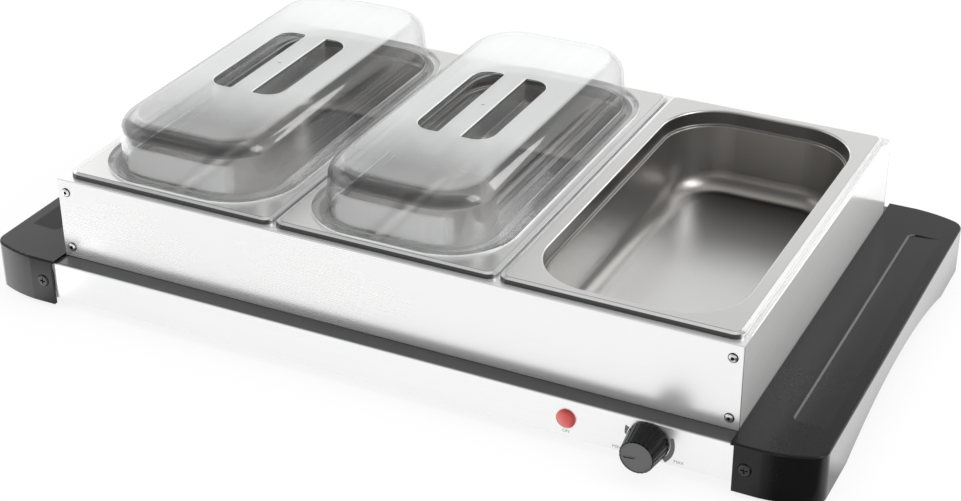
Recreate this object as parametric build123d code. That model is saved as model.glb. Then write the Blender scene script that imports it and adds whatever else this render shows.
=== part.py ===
from build123d import *
import math
import os

# Catering food warmer: a low heated base, a riveted steel rack that stands on it,
# three deep pans hung in the rack, and clear lift-off lids on two of them.
# Millimetres. X runs to the right, Y to the back, Z up from the table.

# Base: a folded steel tray turned upside down, its top is the hot plate
base_past_rack = 2.5
plate_strip = 14.15
base_skirt = 30.4
base_sheet = 0.9
base_bend = 1.6
base_hem = 14.0
foot_drop = 8.1

# Bottom cover
cover_sheet = 0.8
cover_inset = 3.0
vent_count = 9
vent_from_middle = 135.0
vent_length = 46.0
vent_width = 4.0
vent_pitch = 12.0
cover_screw_inset_x = 98.8
cover_screw_inset_y = 9.5

# Rubber feet
foot_radius = 11.0
foot_taper = 1.5
foot_inset_x = 44.8
foot_inset_y = 40.0
foot_screw_head_radius = 3.6
foot_screw_head = 2.2
foot_screw_recess = 3.6

# Small screws
small_screw_radius = 1.5
small_head_radius = 3.0
small_head = 1.4
small_screw_length = 5.0
screw_clearance = 0.1
slot_width = 0.9
slot_depth = 0.7

# Handles: hollow mouldings that cap the ends of the base
handle_width = 59.2
handle_overhang = 2.8
handle_rise = 2.0
handle_drop = 35.5
handle_wall = 3.0
handle_gap = 0.3
handle_to_rack = 0.3
handle_over_plate = 0.3
handle_edge = 1.5
handle_flat = 19.2
handle_sweep_back = 11.0
handle_sweep_bulge = 2.2
handle_corner = 13.0
grip_leg = 62.7
grip_arch_rise = 17.0
dish_start = 26.2
dish_width = 23.0
dish_end_margin = 43.7
dish_depth = 1.2
dish_corner = 4.0
dish_lean = 45.0
rib_count = 5
rib_thickness = 2.0
rib_depth = 4.0
rib_end_margin = 71.7

# Handle screws and the steel angles that they bite into
handle_screw_in = 8.4
handle_screw_drop = 16.4
handle_screw_radius = 2.0
handle_head_radius = 4.6
handle_head = 2.2
handle_head_edge = 1.0
handle_screw_length = 9.0
screw_well_radius = 5.0
screw_well_depth = 1.2
cross_width = 1.2
cross_length = 5.0
cross_depth = 1.1
bracket_sheet = 1.5
bracket_leg = 18.0
bracket_foot = 22.0
bracket_height = 16.0
bracket_gap = 0.2

# Heating element under the plate
foil_end_margin = 38.5
foil_side_margin = 31.9
foil_sheet = 0.4
wire_radius = 1.5
wire_runs = 9
wire_margin = 14.0
wire_gap = 0.05
cutout_radius = 8.0
cutout_height = 7.0
cutout_tab_length = 26.0
cutout_tab_width = 7.0
cutout_tab = 1.0

# Thermostat and control knob, at the right of the front strip
knob_from_end = 59.6
control_drop = 15.6
thermostat_width = 34.0
thermostat_height = 24.0
thermostat_depth = 20.0
bushing_radius = 4.6
bushing_bore = 3.08
bushing_reach = 5.5
nut_flats = 13.0
nut_thickness = 2.6
thread_clearance = 0.1
shaft_radius = 3.0
shaft_reach = 17.0
shaft_depth = 9.0
shaft_flat = 1.2
knob_back_radius = 15.0
knob_face_radius = 12.3
knob_length = 21.0
knob_standoff = 1.4
knob_edge = 0.8
knob_cup_radius = 10.4
knob_cup_depth = 7.0
knob_dish = 0.4
knob_dish_margin = 1.1
flute_count = 24
flute_radius = 1.1
flute_bite = 0.5
pointer_inner = 1.0
pointer_outer = 9.2
pointer_width = 2.6
pointer_depth = 0.7
pointer_angle = 190.0
sensor_radius = 3.0
sensor_length = 60.0
sensor_from_knob = 34.0
sensor_gap = 0.1
capillary_radius = 0.9
capillary_run = 48.0
capillary_turn = 20.0

# Pilot lamp
lamp_from_knob = 60.3
lens_radius = 7.1
lens_rim = 1.2
lens_rise = 2.4
lens_spigot_radius = 4.5
lens_spigot = 6.0
lamp_body_radius = 6.2
lamp_body_length = 22.0
lamp_clearance = 0.2
lamp_tab_length = 7.0
lamp_tab_width = 4.8
lamp_tab = 0.8
lamp_tab_spacing = 6.0

# Supply lead bush in the rear wall and the terminal block inside
gland_from_end = 83.5
gland_radius = 9.0
gland_neck_radius = 6.2
gland_flange = 3.0
gland_nose = 7.0
gland_nose_radius = 5.6
gland_nose_taper = 1.0
gland_inside = 6.0
gland_bore = 3.4
block_length = 36.0
block_depth = 18.0
block_height = 16.0
block_ways = 3
block_way_pitch = 11.0
block_hole_radius = 2.2
block_screw_radius = 1.7
block_setback = 24.0

# Rack: folded panels riveted at the corners, standing on the plate
rack_end_margin = 5.0
rack_side_margin = 5.25
rack_sheet = 1.0
flange_clearance = 0.45
rack_foot = 10.0
rack_tab = 18.0
rack_joint = 0.05
rack_bend = 0.8
divider_clearance = 1.7
divider_lip = 8.0
divider_tongue = 11.0
rivet_from_end = 7.0
rivet_low = 9.0
rivet_high = 55.4
rivet_head_radius = 3.6
rivet_head_rim = 0.3
rivet_head = 1.6
rivet_hole_radius = 1.2
rivet_hole_depth = 0.9
rivet_shank_radius = 1.95
rivet_clearance = 0.05
rivet_tail_radius = 3.0
rivet_tail = 1.6

# Pans: one third of the full catering size, 65 deep
pan_count = 3
pan_width = 176.0
pan_length = 325.0
pan_gap = 2.0
pan_row_shift = 1.6
pan_corner = 8.0
pan_sheet = 0.8
rim_rise = 4.2
rim_border = 3.6
rim_slope = 1.3
rim_bend = 0.7
rim_width_across = 14.0
rim_width_along = 10.0
opening_corner = 46.0
opening_edge = 1.6
collar_depth = 12.0
ledge_width = 2.5
ledge_edge = 1.1
pan_depth = 65.0
pan_above_plate = 4.0
wall_draft = 4.0
floor_radius = 16.0

# Lids: moulded domes with two finger wells each side of a grip bar
lid_sheet = 2.0
lid_overlap = 6.0
lid_edge = 0.9
lid_skirt_depth = 5.0
lid_skirt_gap = 0.8
dome_rise = 41.6
dome_inset_across = 6.5
dome_inset_along = 1.0
dome_corner_step = 4.0
dome_draft = 4.5
dome_shoulder = 14.0
well_length = 112.0
well_width = 22.0
well_depth = 18.0
well_outer_corner = 14.0
well_inner_corner = 2.0
well_draft = 2.0
well_floor_radius = 2.0
well_rim = 0.8
grip_bar_width = 18.4
gate_radius = 1.3
gate_rise = 0.4

# Lengths that follow from the pans and their clearances
pan_pitch = pan_width + pan_gap
opening_width = pan_width - 2 * rim_width_across
opening_length = pan_length - 2 * rim_width_along
rack_length = pan_count * pan_pitch - pan_gap + 2 * rack_end_margin
rack_width = pan_length + 2 * rack_side_margin
rack_height = pan_above_plate + pan_sheet + pan_depth - rim_rise
rack_flange = rack_side_margin + rim_width_along - pan_sheet - flange_clearance
divider_width = pan_pitch - opening_width - 2 * pan_sheet - 2 * divider_clearance
base_length = rack_length + 2 * base_past_rack
base_depth = rack_width + 2 * plate_strip
handle_length = base_depth + 2 * handle_overhang
foil_length = base_length - 2 * foil_end_margin
foil_depth = base_depth - 2 * foil_side_margin
wire_pitch = (foil_depth - 2 * wire_margin) / (wire_runs - 1)
wire_run_length = foil_length - 2 * wire_margin - wire_pitch
dome_base_width = opening_width - 2 * dome_inset_across
dome_base_length = opening_length - 2 * dome_inset_along
dome_corner = opening_corner - dome_corner_step
knob_x = base_length / 2 - knob_from_end
lamp_x = knob_x - lamp_from_knob
gland_x = base_length / 2 - gland_from_end

# Levels and places worked out from the sizes above
base_bottom = foot_drop
plate_top = base_bottom + base_skirt
control_height = plate_top - control_drop
handle_bottom = plate_top - handle_drop
handle_top = plate_top + handle_rise
rack_top = plate_top + rack_height
pan_seat = rack_top
rim_top = pan_seat + rim_rise
knob_reach = knob_standoff + knob_length
gland_reach = gland_flange + gland_nose

# The origin stands under the middle of the whole outline, knob and lead bush included
base_y = (knob_reach - gland_reach) / 2
front_y = base_y - base_depth / 2
back_y = base_y + base_depth / 2
plate_under = plate_top - base_sheet
foil_under = plate_under - foil_sheet
rack_front = base_y - rack_width / 2
rack_back = base_y + rack_width / 2


def block(sketch, low, high):
    """A prism on a flat outline, from one height to another."""
    return Pos(0, 0, low) * extrude(sketch, high - low)


def slab(x_low, x_high, y_low, y_high, z_low, z_high):
    """A plain rectangular solid given by its faces."""
    middle = Pos((x_low + x_high) / 2, (y_low + y_high) / 2, (z_low + z_high) / 2)
    return middle * Box(x_high - x_low, y_high - y_low, z_high - z_low)


def rod(radius, x, z, y_low, y_high):
    """A round bar along Y."""
    return Pos(x, (y_low + y_high) / 2, z) * Rot(90, 0, 0) * Cylinder(radius, y_high - y_low)


def post(radius, x, y, z_low, z_high):
    """A round bar along Z."""
    return Pos(x, y, (z_low + z_high) / 2) * Cylinder(radius, z_high - z_low)


def level_edges(part, z):
    """The edges of a part that lie flat at one height."""
    return part.edges().filter_by_position(Axis.Z, z - 0.01, z + 0.01)


def outlined(*points):
    """A flat face inside straight lines."""
    return make_face(Polyline(*points, close=True))


def spun(outline, centre_x, centre_z, y):
    """A turned piece on an axis along Y: the outline holds radius and distance towards the front."""
    turned = revolve(outline, Axis.Y)
    return Pos(centre_x, y, centre_z) * Rot(180, 0, 0) * turned


def domed(radius, rim, rise):
    """Points of a low dome's outline: a straight rim, then an arc to its top on the axis."""
    crown = rise - rim
    ball = (radius ** 2 + crown ** 2) / (2 * crown)
    half_turn = math.asin(radius / ball) / 2
    middle = (ball * math.sin(half_turn), rise - ball + ball * math.cos(half_turn))
    arc = ThreePointArc((radius, rim), middle, (0, rise))
    return make_face(Polyline((0, rise), (0, 0), (radius, 0), (radius, rim)) + arc)


def save(part, node):
    """Write a sub-part, a single piece or a group of alike pieces."""
    export_step(part, os.path.join("parts", node + ".step"))


def corners(half_x, half_y):
    """Four places mirrored about the base's centre."""
    return [(sx * half_x, base_y + sy * half_y, sx, sy) for sx in (-1, 1) for sy in (-1, 1)]


# Base

def make_hot_plate_shell():
    half = base_length / 2
    tray = slab(-half, half, front_y, back_y, base_bottom, plate_top)
    tray = fillet(level_edges(tray, plate_top), base_bend)
    tray -= slab(-half + base_sheet, half - base_sheet, front_y + base_sheet, back_y - base_sheet,
                 base_bottom + base_sheet, plate_under)
    tray -= slab(-half + base_hem, half - base_hem, front_y + base_hem, back_y - base_hem,
                 base_bottom - 1, base_bottom + base_sheet + 1)
    for x, radius in ((knob_x, bushing_radius + screw_clearance), (lamp_x, lamp_body_radius + lamp_clearance)):
        tray -= rod(radius, x, control_height, front_y - 1, front_y + base_sheet + 1)
    tray -= rod(gland_neck_radius + screw_clearance, gland_x, control_height,
                back_y - base_sheet - 1, back_y + 1)
    for x, y in cover_screw_places():
        tray -= post(small_screw_radius + screw_clearance, x, y, base_bottom - 1, base_bottom + base_sheet + 1)
    return tray


def cover_screw_places():
    half_x = base_length / 2 - cover_screw_inset_x
    half_y = base_depth / 2 - cover_screw_inset_y
    return [(x, base_y + side * half_y) for x in (-half_x, 0, half_x) for side in (-1, 1)]


def make_bottom_cover():
    half_x = base_length / 2 - cover_inset
    half_y = base_depth / 2 - cover_inset
    cover = slab(-half_x, half_x, base_y - half_y, base_y + half_y, base_bottom - cover_sheet, base_bottom)
    low, high = base_bottom - cover_sheet - 1, base_bottom + 1
    slot = block(SlotOverall(vent_length, vent_width, 90), low, high)
    for row in (-1, 1):
        for i in range(vent_count):
            x = row * vent_from_middle + (i - (vent_count - 1) / 2) * vent_pitch
            cover -= Pos(x, base_y, 0) * slot
    for x, y in cover_screw_places():
        cover -= post(small_screw_radius + screw_clearance, x, y, low, high)
    for x, y, _, _ in foot_places():
        cover -= post(small_screw_radius + screw_clearance, x, y, low, high)
    return cover


def slotted_head(x, y, z_under, z_over):
    """A round head with a straight slot, facing down."""
    head = post(small_head_radius, x, y, z_under, z_over)
    half = small_head_radius
    return head - slab(x - half, x + half, y - slot_width / 2, y + slot_width / 2,
                       z_under - 1, z_under + slot_depth)


def make_bottom_cover_screws():
    top = base_bottom - cover_sheet
    screws = []
    for x, y in cover_screw_places():
        shank = post(small_screw_radius, x, y, top, top + small_screw_length)
        screws.append(slotted_head(x, y, top - small_head, top) + shank)
    return Compound(children=screws)


def foot_places():
    return corners(base_length / 2 - foot_inset_x, base_depth / 2 - foot_inset_y)


def make_rubber_feet():
    top = base_bottom - cover_sheet
    profile = outlined((0, 0), (foot_radius - foot_taper, 0), (foot_radius, top), (0, top))
    foot = revolve(Plane.XZ * profile, Axis.Z)
    foot -= post(foot_screw_head_radius + screw_clearance, 0, 0, -1, foot_screw_recess)
    foot -= post(small_screw_radius + screw_clearance, 0, 0, 0, top + 1)
    return Compound(children=[Pos(x, y, 0) * foot for x, y, _, _ in foot_places()])


def make_foot_screws():
    low = foot_screw_recess - foot_screw_head
    top = base_bottom - cover_sheet
    screws = []
    for x, y, _, _ in foot_places():
        head = post(foot_screw_head_radius, x, y, low, foot_screw_recess)
        head -= slab(x - foot_screw_head_radius, x + foot_screw_head_radius,
                     y - slot_width / 2, y + slot_width / 2, low - 1, low + slot_depth)
        screws.append(head + post(small_screw_radius, x, y, foot_screw_recess, top + small_screw_length))
    return Compound(children=screws)


# Handles

def handle_outline(inset):
    """Plan of the right handle, its inner edge on x = 0, drawn in by a wall."""
    half = handle_length / 2 - inset
    width = handle_width - inset
    turn = half - handle_sweep_back
    middle = ((handle_flat + width) / 2, (half + turn) / 2 + handle_sweep_bulge)
    rear = ThreePointArc((handle_flat, half), middle, (width, turn))
    front = ThreePointArc((width, -turn), (middle[0], -middle[1]), (handle_flat, -half))
    inner = Polyline((handle_flat, -half), (0, -half), (0, half), (handle_flat, half))
    plan = make_face([rear, Line((width, turn), (width, -turn)), front, inner])
    outer = plan.vertices().filter_by_position(Axis.X, width - 0.01, width + 0.01)
    return fillet(outer, handle_corner - inset)


def make_right_handle():
    """The right handle in place; the left one is its mirror image."""
    floor = handle_bottom
    shell = block(handle_outline(0), floor, handle_top)
    shell += slab(handle_to_rack - base_past_rack - handle_gap, handle_edge, -handle_length / 2, handle_length / 2,
                  plate_top + handle_over_plate, handle_top)
    rim = level_edges(shell, handle_top).filter_by_position(Axis.X, 0.5, handle_width + 1)
    shell = fillet(rim, handle_edge)
    inside = block(handle_outline(handle_wall), floor - 1, handle_top - handle_wall)
    inside += slab(-1, handle_flat, -handle_length / 2 + handle_wall, handle_length / 2 - handle_wall,
                   floor - 1, handle_top - handle_wall)
    shell -= inside
    shell -= grip_arch(floor)
    shell -= top_dish()
    for i in range(rib_count):
        y = (handle_length - 2 * rib_end_margin) * (i / (rib_count - 1) - 0.5)
        shell += slab(handle_flat / 2, handle_width - handle_wall, y - rib_thickness / 2, y + rib_thickness / 2,
                      handle_top - handle_wall - rib_depth, handle_top - handle_wall)
    for side in (-1, 1):
        face = side * handle_length / 2
        mouth = face - side * screw_well_depth
        shell -= rod(screw_well_radius, handle_screw_in, plate_top - handle_screw_drop,
                     min(mouth, face + side), max(mouth, face + side))
        back = face - side * (handle_wall + 1)
        shell -= rod(handle_screw_radius + screw_clearance, handle_screw_in, plate_top - handle_screw_drop,
                     min(face, back), max(face, back))
    return Pos(base_length / 2 + handle_gap, base_y, 0) * shell


def grip_arch(floor):
    """The shallow arch under the handle's outer side, where the fingers go in."""
    half = handle_length / 2 - grip_leg
    curve = ThreePointArc((-half, floor), (0, floor + grip_arch_rise), (half, floor))
    base = Line((half, floor), (-half, floor))
    side = Plane.YZ * make_face(curve + base)
    cut = extrude(side, handle_width)
    return Pos(handle_width / 2, 0, 0) * cut


def top_dish():
    """The dished panel on the top, deepest along its inner line and fading outwards."""
    tilt = math.degrees(math.atan2(dish_depth, dish_width))
    plan = RectangleRounded(dish_width * 2, handle_length - 2 * dish_end_margin, dish_corner)
    cutter = extrude(plan, handle_rise * 4, taper=-dish_lean)
    hinge = Pos(dish_start, 0, handle_top - dish_depth) * Rot(0, -tilt, 0) * Pos(dish_width, 0, 0)
    return hinge * cutter


def make_handle_screws():
    screws = []
    z = plate_top - handle_screw_drop
    x = base_length / 2 + handle_gap + handle_screw_in
    seat = handle_length / 2 - screw_well_depth
    for px, _, _, side in corners(x, 0):
        head_low, head_high = sorted((base_y + side * seat, base_y + side * (seat + handle_head)))
        tip_low, tip_high = sorted((base_y + side * seat, base_y + side * (seat - handle_screw_length)))
        screw = rod(handle_head_radius, px, z, head_low, head_high)
        outer = screw.faces().sort_by(Axis.Y)[-1 if side > 0 else 0]
        screw = fillet(outer.edges(), handle_head_edge)
        top = base_y + side * (seat + handle_head)
        low, high = sorted((top - side * cross_depth, top + side))
        for wide, tall in ((cross_length, cross_width), (cross_width, cross_length)):
            screw -= slab(px - wide / 2, px + wide / 2, low, high, z - tall / 2, z + tall / 2)
        screws.append(screw + rod(handle_screw_radius, px, z, tip_low, tip_high))
    return Compound(children=screws)


def make_handle_brackets():
    z = plate_top - handle_screw_drop
    inner = base_length / 2
    face = handle_length / 2 - handle_wall - bracket_gap
    pieces = []
    for sx in (-1, 1):
        for sy in (-1, 1):
            leg = slab(inner, inner + bracket_leg, face - bracket_sheet, face,
                       z - bracket_height / 2, z + bracket_height / 2)
            foot = slab(inner, inner + bracket_sheet, face - bracket_foot, face,
                        z - bracket_height / 2, z + bracket_height / 2)
            angle = leg + foot
            angle -= rod(handle_screw_radius + screw_clearance / 2, inner + handle_gap + handle_screw_in, z,
                         face - bracket_sheet - 1, face + 1)
            if sy < 0:
                angle = mirror(angle, Plane.XZ)
            if sx < 0:
                angle = mirror(angle, Plane.YZ)
            pieces.append(Pos(0, base_y, 0) * angle)
    return Compound(children=pieces)


# Heating element and controls

def make_heater_foil():
    return slab(-foil_length / 2, foil_length / 2, base_y - foil_depth / 2, base_y + foil_depth / 2,
                foil_under, plate_under)


def make_heater_wire():
    """One flat serpentine of resistance cord under the foil."""
    z = foil_under - wire_gap - wire_radius
    half = wire_run_length / 2
    first = base_y - wire_pitch * (wire_runs - 1) / 2
    path = []
    for i in range(wire_runs):
        y = first + i * wire_pitch
        way = 1 if i % 2 == 0 else -1
        path.append(Line((-way * half, y, z), (way * half, y, z)))
        if i < wire_runs - 1:
            bulge = way * (half + wire_pitch / 2)
            path.append(ThreePointArc((way * half, y, z), (bulge, y + wire_pitch / 2, z),
                                      (way * half, y + wire_pitch, z)))
    start = Plane(origin=(-half, first, z), z_dir=(1, 0, 0))
    return sweep(start * RegularPolygon(wire_radius, 6), path=Wire(path))


def make_thermal_cutout():
    y = base_y + wire_pitch / 2
    half, half_width = cutout_tab_length / 2, cutout_tab_width / 2
    tab = slab(-half, half, y - half_width, y + half_width, foil_under - cutout_tab, foil_under)
    return tab + post(cutout_radius, 0, y, foil_under - cutout_tab - cutout_height, foil_under - cutout_tab)


def thermostat_back():
    return front_y + base_sheet + thermostat_depth


def make_thermostat_body():
    front = front_y + base_sheet
    half = thermostat_width / 2
    body = slab(knob_x - half, knob_x + half, front, thermostat_back(),
                control_height - thermostat_height / 2, control_height + thermostat_height / 2)
    body += rod(bushing_radius, knob_x, control_height, front_y - bushing_reach, front)
    body -= rod(bushing_bore, knob_x, control_height, front_y - bushing_reach - 1, front + shaft_depth)
    return body


def make_thermostat_nut():
    hexagon = Rot(90, 0, 0) * extrude(RegularPolygon(nut_flats / 2, 6, major_radius=False), nut_thickness)
    nut = Pos(knob_x, front_y, control_height) * hexagon
    return nut - rod(bushing_radius + thread_clearance / 2, knob_x, control_height,
                     front_y - nut_thickness - 1, front_y + 1)


def knob_places():
    back = front_y - knob_standoff
    return back, back - knob_length


def d_shaft(radius, y_low, y_high):
    bar = rod(radius, knob_x, control_height, y_low, y_high)
    top = control_height + shaft_radius - shaft_flat + (radius - shaft_radius)
    return bar - slab(knob_x - radius, knob_x + radius, y_low - 1, y_high + 1, top, top + radius * 2)


def make_thermostat_shaft():
    back, _ = knob_places()
    return d_shaft(shaft_radius, back - shaft_reach, front_y + base_sheet + shaft_depth - screw_clearance)


def make_control_knob():
    back, face = knob_places()
    knob = spun(outlined((0, 0), (knob_back_radius, 0), (knob_face_radius, knob_length), (0, knob_length)),
                knob_x, control_height, back)
    knob = chamfer(knob.faces().sort_by(Axis.Y)[0].edges(), knob_edge)
    knob -= rod(knob_face_radius - knob_dish_margin, knob_x, control_height, face - 1, face + knob_dish)
    knob -= rod(knob_cup_radius, knob_x, control_height, back - knob_cup_depth, back + 1)
    knob -= d_shaft(shaft_radius + screw_clearance / 2, back - shaft_reach - screw_clearance, back)
    lean = math.atan2(knob_back_radius - knob_face_radius, knob_length)
    middle = (knob_back_radius + knob_face_radius) / 2 + flute_radius - flute_bite
    flute = Pos(0, (back + face) / 2, middle) * Rot(math.degrees(lean), 0, 0) * Rot(90, 0, 0) \
        * Cylinder(flute_radius, knob_length + 2 * flute_radius)
    cutters = [Pos(knob_x, 0, control_height) * Rot(0, i * 360 / flute_count, 0) * flute
               for i in range(flute_count)]
    knob -= cutters
    half_width = pointer_width / 2
    round_end = ThreePointArc((pointer_inner + half_width, half_width), (pointer_inner, 0),
                              (pointer_inner + half_width, -half_width))
    tip = Polyline((pointer_inner + half_width, -half_width), (pointer_outer, -half_width / 2),
                   (pointer_outer, half_width / 2), (pointer_inner + half_width, half_width))
    mark = Rot(90, 0, 0) * Rot(0, 0, pointer_angle) * extrude(make_face([round_end, tip]), pointer_depth + 1)
    knob -= Pos(knob_x, face + knob_dish + pointer_depth, control_height) * mark
    return knob


def make_thermostat_sensor():
    """The sensing bulb against the foil, between two runs of wire, and its thin tube."""
    z = foil_under - sensor_gap - sensor_radius
    y = base_y - wire_pitch / 2
    bulb_end = knob_x - sensor_from_knob - sensor_length
    bulb = Pos(bulb_end - sensor_length / 2, y, z) * Rot(0, 90, 0) * Cylinder(sensor_radius, sensor_length)
    start = (knob_x, thermostat_back(), control_height)
    first_turn = (knob_x, thermostat_back() + capillary_run, control_height)
    last_turn = (bulb_end + capillary_run, y, z)
    path = FilletPolyline(start, first_turn, last_turn, (bulb_end, y, z), radius=capillary_turn)
    tube = sweep(Plane(origin=start, z_dir=(0, 1, 0)) * Circle(capillary_radius), path=path)
    return bulb + tube


def make_indicator_lens():
    cap = spun(domed(lens_radius, lens_rim, lens_rise), lamp_x, control_height, front_y)
    return cap + rod(lens_spigot_radius, lamp_x, control_height, front_y, front_y + lens_spigot)


def make_indicator_body():
    body = rod(lamp_body_radius, lamp_x, control_height, front_y, front_y + lamp_body_length)
    body -= rod(lens_spigot_radius + screw_clearance / 2, lamp_x, control_height, front_y - 1,
                front_y + lens_spigot + screw_clearance)
    back = front_y + lamp_body_length
    for side in (-1, 1):
        x = lamp_x + side * lamp_tab_spacing / 2
        body += slab(x - lamp_tab / 2, x + lamp_tab / 2, back - 1, back + lamp_tab_length,
                     control_height - lamp_tab_width / 2, control_height + lamp_tab_width / 2)
    return body


def make_cord_gland():
    outline = outlined((gland_bore, -gland_inside), (gland_neck_radius, -gland_inside), (gland_neck_radius, 0),
                       (gland_radius, 0), (gland_radius, gland_flange),
                       (gland_nose_radius + gland_nose_taper, gland_flange),
                       (gland_nose_radius, gland_reach), (gland_bore, gland_reach))
    return Pos(gland_x, back_y, control_height) * revolve(outline, Axis.Y)


def make_terminal_block():
    y_high = back_y - block_setback
    y_low = y_high - block_depth
    low = base_bottom
    block_body = slab(gland_x - block_length / 2, gland_x + block_length / 2, y_low, y_high, low,
                      low + block_height)
    for i in range(block_ways):
        x = gland_x + (i - (block_ways - 1) / 2) * block_way_pitch
        block_body -= rod(block_hole_radius, x, low + block_height / 2, y_low - 1, y_high + 1)
        block_body -= post(block_screw_radius, x, (y_low + y_high) / 2, low + block_height / 2,
                           low + block_height + 1)
    return block_body


# Rack

def make_front_panel():
    """Front panel: a tall face folded in along its top, and again along its foot."""
    half = rack_length / 2
    low, top = plate_top, rack_top
    y = rack_front
    panel = slab(-half, half, y, y + rack_flange, low, top)
    bend = panel.edges().filter_by(Axis.X).sort_by(Axis.Y)[:2]
    panel = fillet(bend, rack_bend)
    panel -= slab(-half - 1, half + 1, y + rack_sheet, y + rack_flange + 1, low + rack_sheet, top - rack_sheet)
    panel -= slab(-half - 1, half + 1, y + rack_foot, y + rack_flange + 1, low - 1, low + rack_sheet + 1)
    for x, z in rivet_places():
        panel -= rod(rivet_shank_radius + rivet_clearance, x, z, y - 1, y + rack_sheet + 1)
    return panel


def rivet_places():
    x = rack_length / 2 - rivet_from_end
    return [(sx * x, plate_top + z) for sx in (-1, 1) for z in (rivet_low, rivet_high)]


def about_rack(part):
    """The same part turned to the other side of the rack, front to back."""
    return mirror(part, Plane.XZ.offset(-base_y))


def make_right_end():
    """End panel between the front and rear ones, with tabs turned in behind them for the rivets."""
    outer = rack_length / 2
    inside = rack_sheet + rack_joint
    beside = rack_flange + rack_joint
    y_low, y_high = rack_front + inside, rack_back - inside
    low, top = plate_top, rack_top
    panel = slab(outer - rack_sheet, outer, y_low, y_high, low, top)
    panel += slab(outer - rack_flange, outer, rack_front + beside, rack_back - beside, top - rack_sheet, top)
    panel += slab(outer - rack_foot, outer, rack_front + beside, rack_back - beside, low, low + rack_sheet)
    bends = level_edges(panel, low) + level_edges(panel, top)
    panel = fillet([edge for edge in bends if abs(edge.center().X - outer) < 0.01], rack_bend)
    for y_a, y_b in ((y_low - 1, rack_front + beside), (rack_back - beside, y_high + 1)):
        panel -= slab(outer - rack_sheet - 1, outer + 1, y_a, y_b, low - 1, low + inside)
        panel -= slab(outer - rack_sheet - 1, outer + 1, y_a, y_b, top - inside, top + 1)
    for y_tab in (y_low, y_high - rack_sheet):
        tab = slab(outer - rack_tab, outer, y_tab, y_tab + rack_sheet, low + inside + 1, top - inside - 1)
        for x, z in rivet_places():
            if x > 0:
                tab -= rod(rivet_shank_radius + rivet_clearance, x, z, y_tab - 1, y_tab + rack_sheet + 1)
        panel += tab
    return panel


def make_divider(x):
    """A folded bar under two neighbouring pan rims, its tongues under the front and rear flanges."""
    y_low = rack_front + rack_flange + rack_joint
    y_high = rack_back - rack_flange - rack_joint
    half = divider_width / 2
    bar = slab(x - half, x + half, y_low, y_high, rack_top - divider_lip, rack_top)
    bar -= slab(x - half + rack_sheet, x + half - rack_sheet, y_low - 1, y_high + 1,
                rack_top - divider_lip - 1, rack_top - rack_sheet)
    tongue_top = rack_top - rack_sheet
    tongue_half = half - rack_sheet
    for y_a, y_b in ((y_low - divider_tongue, y_low + divider_tongue),
                     (y_high - divider_tongue, y_high + divider_tongue)):
        bar += slab(x - tongue_half, x + tongue_half, y_a, y_b, tongue_top - rack_sheet, tongue_top)
    return bar


def make_rack_rivets():
    """Blind rivets: domed heads with the pulled stem's hole, and clenched tails."""
    grip = rack_sheet * 2 + rack_joint
    head = domed(rivet_head_radius, rivet_head_rim, rivet_head)
    rivets = []
    for x, z in rivet_places():
        front = spun(head, x, z, rack_front)
        front -= rod(rivet_hole_radius, x, z, rack_front - rivet_head - 1,
                     rack_front - rivet_head + rivet_hole_depth)
        front += rod(rivet_shank_radius, x, z, rack_front, rack_front + grip)
        front += rod(rivet_tail_radius, x, z, rack_front + grip, rack_front + grip + rivet_tail)
        rivets.append(front)
        rivets.append(about_rack(front))
    return Compound(children=rivets)


# Pans

def pan_places():
    return [pan_row_shift + (i - (pan_count - 1) / 2) * pan_pitch for i in range(pan_count)]


def pan_bowl(grow, top):
    """The bowl of a pan drawn out by a wall: collar, ledge, tapered walls and rounded floor."""
    ledge = rim_top - collar_depth - grow
    floor = rim_top - pan_depth - grow
    collar = RectangleRounded(opening_width + 2 * grow, opening_length + 2 * grow, opening_corner + grow)
    step = ledge_width - grow
    lower = RectangleRounded(opening_width - 2 * step, opening_length - 2 * step, opening_corner - step)
    cup = Pos(0, 0, ledge) * extrude(lower, floor - ledge, taper=wall_draft)
    cup = fillet(level_edges(cup, floor), floor_radius + grow)
    bowl = block(collar, ledge, top) + cup
    return fillet(level_edges(bowl, ledge), ledge_edge)


def bordered(plate, top):
    """A flat plate with the sloping border of a pan's rim round its top."""
    face = plate.faces().sort_by(Axis.Z)[-1]
    return chamfer(level_edges(plate, top), rim_border, rim_slope, reference=face)


def make_pan():
    outer = RectangleRounded(pan_width, pan_length, pan_corner)
    rim = block(outer, pan_seat, rim_top)
    rim = bordered(rim, rim_top)
    rim = fillet(level_edges(rim, rim_top - rim_slope), rim_bend)
    under = RectangleRounded(pan_width - 2 * pan_sheet, pan_length - 2 * pan_sheet, pan_corner - pan_sheet)
    hollow = bordered(block(under, pan_seat - 1, rim_top - pan_sheet), rim_top - pan_sheet)
    pan = (rim - hollow) + pan_bowl(pan_sheet, rim_top - pan_sheet / 2)
    pan -= pan_bowl(0, rim_top + 1)
    mouth = [edge for edge in level_edges(pan, rim_top) if edge.center().X ** 2 < (opening_width / 2 + 1) ** 2
             and abs(edge.center().Y) < opening_length / 2 + 1]
    return fillet(mouth, opening_edge)


# Lids

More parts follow.
